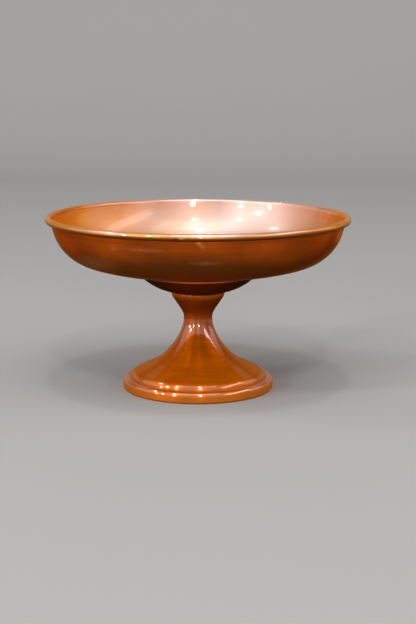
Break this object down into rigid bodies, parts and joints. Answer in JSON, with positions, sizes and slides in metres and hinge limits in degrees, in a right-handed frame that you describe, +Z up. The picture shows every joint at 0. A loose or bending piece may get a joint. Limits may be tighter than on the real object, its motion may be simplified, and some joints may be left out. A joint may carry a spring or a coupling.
{
  "type": "pedestal bowl",
  "caption": "Wide shallow copper bowl with a rolled, wired rim on a waisted hollow stem and a stepped round foot, for fruit, sweets or display.",
  "frame": {"origin": "on the bowl's axis, at the level of the flat hem that the foot stands on", "axes": "+Z up along the axis that the bowl, stem and foot were spun about; X and Y are any two directions across"},
  "size_m": [0.2, 0.2, 0.1153],
  "materials": {
    "copper": "polished copper under a clear orange-toned lacquer",
    "steel": "zinc-plated"
  },
  "bodies": {
    "root": {"bowl": "copper", "rim_wire": "steel", "under_dish": "copper", "stem_top": "copper", "neck_sleeve": "copper", "foot": "copper", "stud_plate": "steel", "tie_stud": "steel", "cone_washer": "steel", "spring_washer": "steel", "hex_nut": "steel"}
  },
  "joints": []
}
